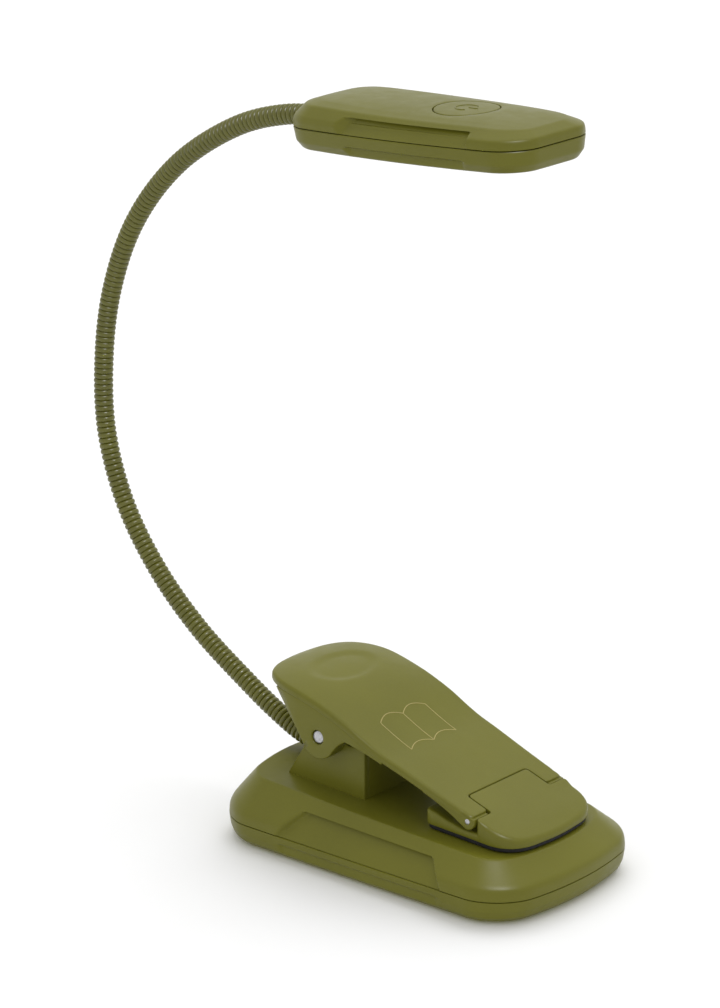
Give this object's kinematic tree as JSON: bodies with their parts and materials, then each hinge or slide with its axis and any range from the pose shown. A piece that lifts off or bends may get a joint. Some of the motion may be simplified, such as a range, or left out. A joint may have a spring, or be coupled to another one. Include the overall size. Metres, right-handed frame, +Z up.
{
  "type": "clip on reading lamp",
  "caption": "Reading lamp with a bendable ribbed neck, a flat LED head with a push button, and a low battery base whose sprung lever and jaw clip onto a book.",
  "frame": {"origin": "middle of the base's underside, on the face that the lamp stands on", "axes": "+X along the base towards the clip's jaw, +Y across the base, +Z up"},
  "size_m": [0.1561, 0.0556, 0.1838],
  "materials": {
    "olive_plastic": "satin moulded",
    "olive_metal": "satin paint over wound wire",
    "steel": "drawn",
    "black_rubber": "matt",
    "black_plastic": "matt",
    "cable_sheath": "smooth",
    "circuit_board": "solder mask",
    "white_board": "white solder mask",
    "cell_foil": "foil",
    "led_phosphor": "matt",
    "diffuser": "frosted"
  },
  "bodies": {
    "base": {"base_upper_shell": "olive_plastic", "base_lower_shell": "olive_plastic", "base_pad": "black_rubber", "base_screw_1": "steel", "base_screw_2": "steel", "base_screw_3": "steel", "base_screw_4": "steel", "battery_cell": "cell_foil", "charge_board": "circuit_board", "usb_socket": "steel", "neck_clamp": "black_plastic", "main_pin": "steel", "torsion_spring": "steel", "neck_link_00": "olive_metal", "lead_wire_00": "cable_sheath"},
    "neck_01": {"neck_link_01": "olive_metal", "lead_wire_01": "cable_sheath"},
    "neck_02": {"neck_link_02": "olive_metal", "lead_wire_02": "cable_sheath"},
    "neck_03": {"neck_link_03": "olive_metal", "lead_wire_03": "cable_sheath"},
    "neck_04": {"neck_link_04": "olive_metal", "lead_wire_04": "cable_sheath"},
    "neck_05": {"neck_link_05": "olive_metal", "lead_wire_05": "cable_sheath"},
    "neck_06": {"neck_link_06": "olive_metal", "lead_wire_06": "cable_sheath"},
    "neck_07": {"neck_link_07": "olive_metal", "lead_wire_07": "cable_sheath"},
    "neck_08": {"neck_link_08": "olive_metal", "lead_wire_08": "cable_sheath"},
    "neck_09": {"neck_link_09": "olive_metal", "lead_wire_09": "cable_sheath"},
    "head": {"neck_link_10": "olive_metal", "lead_wire_10": "cable_sheath", "head_upper_shell": "olive_plastic", "head_lower_shell": "olive_plastic", "lens": "diffuser", "led_board": "white_board", "led_1": "led_phosphor", "led_2": "led_phosphor", "led_3": "led_phosphor", "led_4": "led_phosphor", "tact_switch": "black_plastic", "head_screw_1": "steel", "head_screw_2": "steel", "head_clamp": "black_plastic"},
    "button": {"power_button": "olive_plastic"},
    "lever": {"clip_lever": "olive_plastic", "jaw_pin": "steel"},
    "jaw": {"jaw_pad": "olive_plastic", "jaw_rubber": "black_rubber"}
  },
  "joints": [
    {"name": "neck_lower_bend", "type": "hinge", "parent": "base", "child": "neck_01", "pos_m": [-0.04994, 0, 0.02564], "axis": [0, 1, 0], "range_deg": [-12, 8]},
    {"name": "neck_side_bend", "type": "hinge", "parent": "neck_01", "child": "neck_02", "pos_m": [-0.06858, 0, 0.0367], "axis": [-0.5456, 0, -0.8381], "range_deg": [-12, 12]},
    {"name": "neck_lower_bend_b", "type": "hinge", "parent": "neck_02", "child": "neck_03", "pos_m": [-0.08533, 0, 0.0504], "axis": [0, 1, 0], "range_deg": [-12, 8]},
    {"name": "neck_side_bend_b", "type": "hinge", "parent": "neck_03", "child": "neck_04", "pos_m": [-0.09832, 0, 0.06768], "axis": [-0.8816, 0, -0.472], "range_deg": [-12, 12]},
    {"name": "neck_lower_bend_c", "type": "hinge", "parent": "neck_04", "child": "neck_05", "pos_m": [-0.10509, 0, 0.08816], "axis": [0, 1, 0], "range_deg": [-12, 8]},
    {"name": "neck_side_bend_c", "type": "hinge", "parent": "neck_05", "child": "neck_06", "pos_m": [-0.10472, 0, 0.10978], "axis": [-0.9922, 0, 0.1248], "range_deg": [-12, 12]},
    {"name": "neck_upper_bend", "type": "hinge", "parent": "neck_06", "child": "neck_07", "pos_m": [-0.09927, 0, 0.1307], "axis": [0, 1, 0], "range_deg": [-12, 8]},
    {"name": "neck_side_bend_d", "type": "hinge", "parent": "neck_07", "child": "neck_08", "pos_m": [-0.08806, 0, 0.14914], "axis": [-0.7603, 0, 0.6496], "range_deg": [-12, 12]},
    {"name": "neck_upper_bend_b", "type": "hinge", "parent": "neck_08", "child": "neck_09", "pos_m": [-0.0718, 0, 0.16336], "axis": [0, 1, 0], "range_deg": [-12, 8]},
    {"name": "neck_upper_bend_c", "type": "hinge", "parent": "neck_09", "child": "head", "pos_m": [-0.05233, 0, 0.17278], "axis": [0, 1, 0], "range_deg": [-12, 8]},
    {"name": "lever_pivot", "type": "hinge", "parent": "base", "child": "lever", "pos_m": [-0.018, 0, 0.0301], "axis": [0, -1, 0], "range_deg": [0, 17], "stiffness_Nm_per_rad": 0.5, "springref_deg": -34.38, "deforming": ["torsion_spring"]},
    {"name": "jaw_pivot", "type": "hinge", "parent": "lever", "child": "jaw", "pos_m": [0.027, 0, 0.02], "axis": [0, -1, 0], "range_deg": [-12.5, 0]},
    {"name": "power_press", "type": "slide", "parent": "head", "child": "button", "axis": [0.0362, 0.0484, -0.9982], "range_m": [0, 0.0005], "stiffness_N_per_m": 800, "springref_m": -0.0004}
  ],
  "couplings": [
    {"joint": "neck_lower_bend_b", "follows": "neck_lower_bend", "ratio": 1},
    {"joint": "neck_lower_bend_c", "follows": "neck_lower_bend", "ratio": 1},
    {"joint": "neck_side_bend_b", "follows": "neck_side_bend", "ratio": 1},
    {"joint": "neck_side_bend_c", "follows": "neck_side_bend", "ratio": 1},
    {"joint": "neck_side_bend_d", "follows": "neck_side_bend", "ratio": 1},
    {"joint": "neck_upper_bend_b", "follows": "neck_upper_bend", "ratio": 1},
    {"joint": "neck_upper_bend_c", "follows": "neck_upper_bend", "ratio": 1},
    {"joint": "jaw_pivot", "follows": "lever_pivot", "ratio": -0.7}
  ]
}
